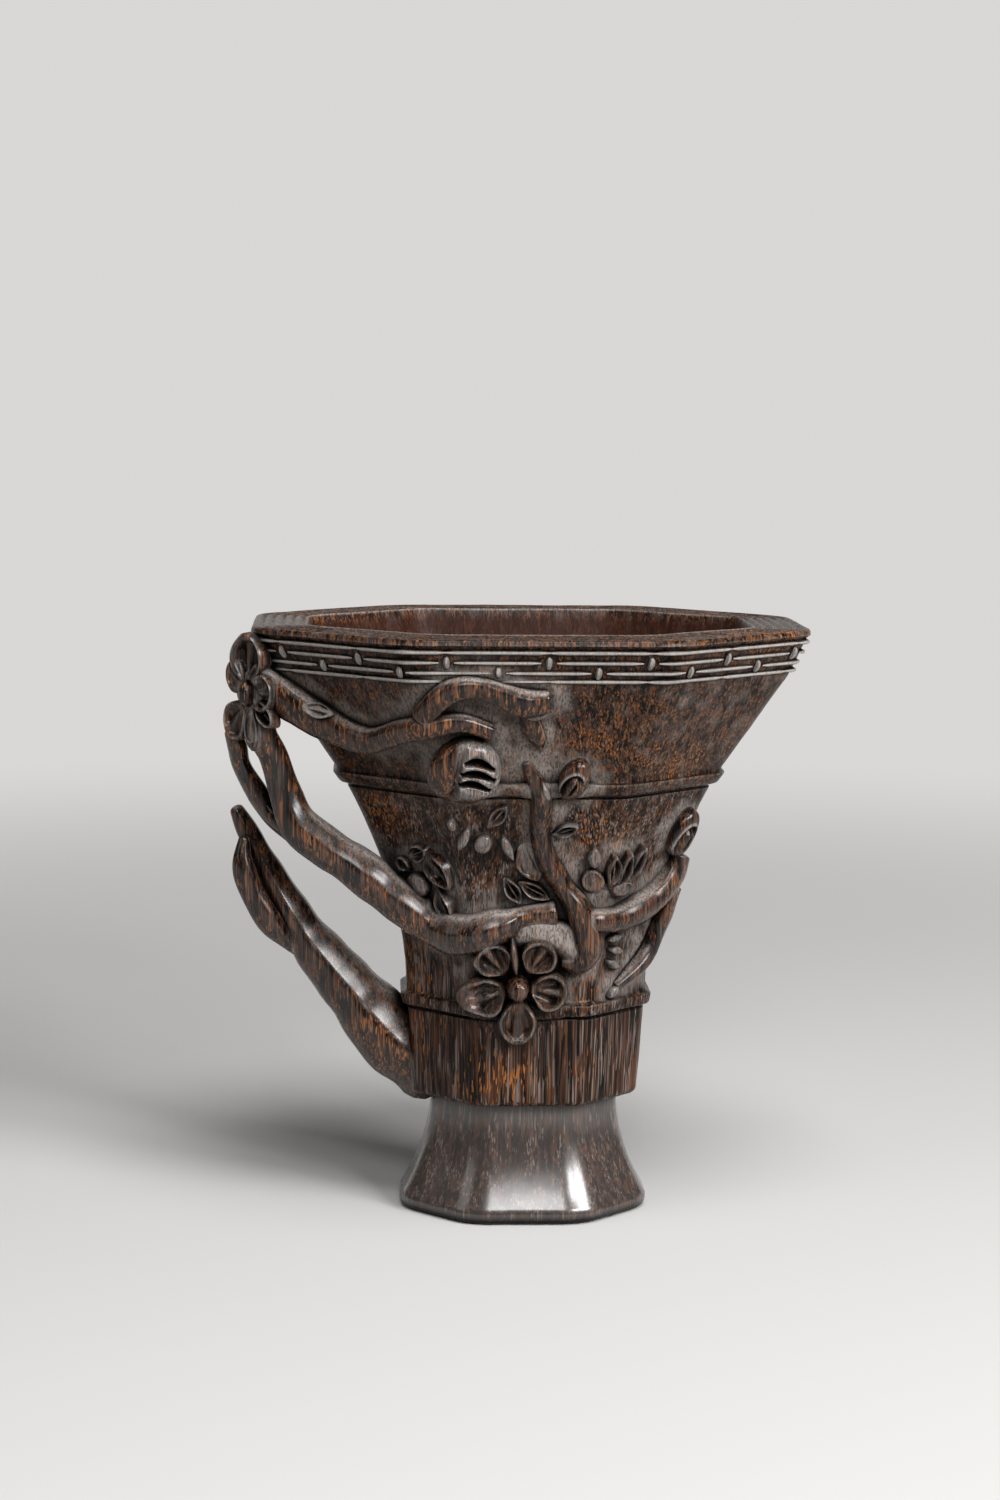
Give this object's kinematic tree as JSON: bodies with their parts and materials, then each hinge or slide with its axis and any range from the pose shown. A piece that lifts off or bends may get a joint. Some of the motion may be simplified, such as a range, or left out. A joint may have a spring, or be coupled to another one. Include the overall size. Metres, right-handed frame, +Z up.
{
  "type": "libation cup",
  "caption": "Eight-sided flared wooden cup on a waisted foot, with an openwork branch handle and plum blossom carved in relief.",
  "frame": {"origin": "middle of the foot's flat underside", "axes": "+Z up to the mouth, -X towards the handle, -Y towards the front with the most carving"},
  "size_m": [0.0923, 0.0652, 0.095],
  "materials": {
    "vessel_wood": "dark palm-like wood, satin polish, orange fibre flecks",
    "foot_wood": "smooth greyish polish, fine upright fibres",
    "handle_wood": "polished dark wood with orange streaks",
    "relief_wood": "carved dark wood, worn lighter on the crests"
  },
  "bodies": {
    "root": {"vessel": "vessel_wood", "foot": "foot_wood", "handle_front_stem": "handle_wood", "handle_trunk": "handle_wood", "handle_side_shoot": "handle_wood", "handle_rear_stem": "handle_wood", "rim_blossom": "relief_wood", "upper_bough": "relief_wood", "drooping_blossom": "relief_wood", "upper_hook_twig": "relief_wood", "hook_leaf": "relief_wood", "centre_twig": "relief_wood", "centre_bud": "relief_wood", "lower_bough": "relief_wood", "lower_blossom": "relief_wood", "left_blossom": "relief_wood", "wall_blossom": "relief_wood", "right_bough": "relief_wood", "right_blossom": "relief_wood", "right_bud": "relief_wood", "right_lower_shoot": "relief_wood", "back_bough": "relief_wood", "back_twig": "relief_wood", "back_upper_blossom": "relief_wood", "back_lower_blossom": "relief_wood", "back_bud": "relief_wood"}
  },
  "joints": []
}
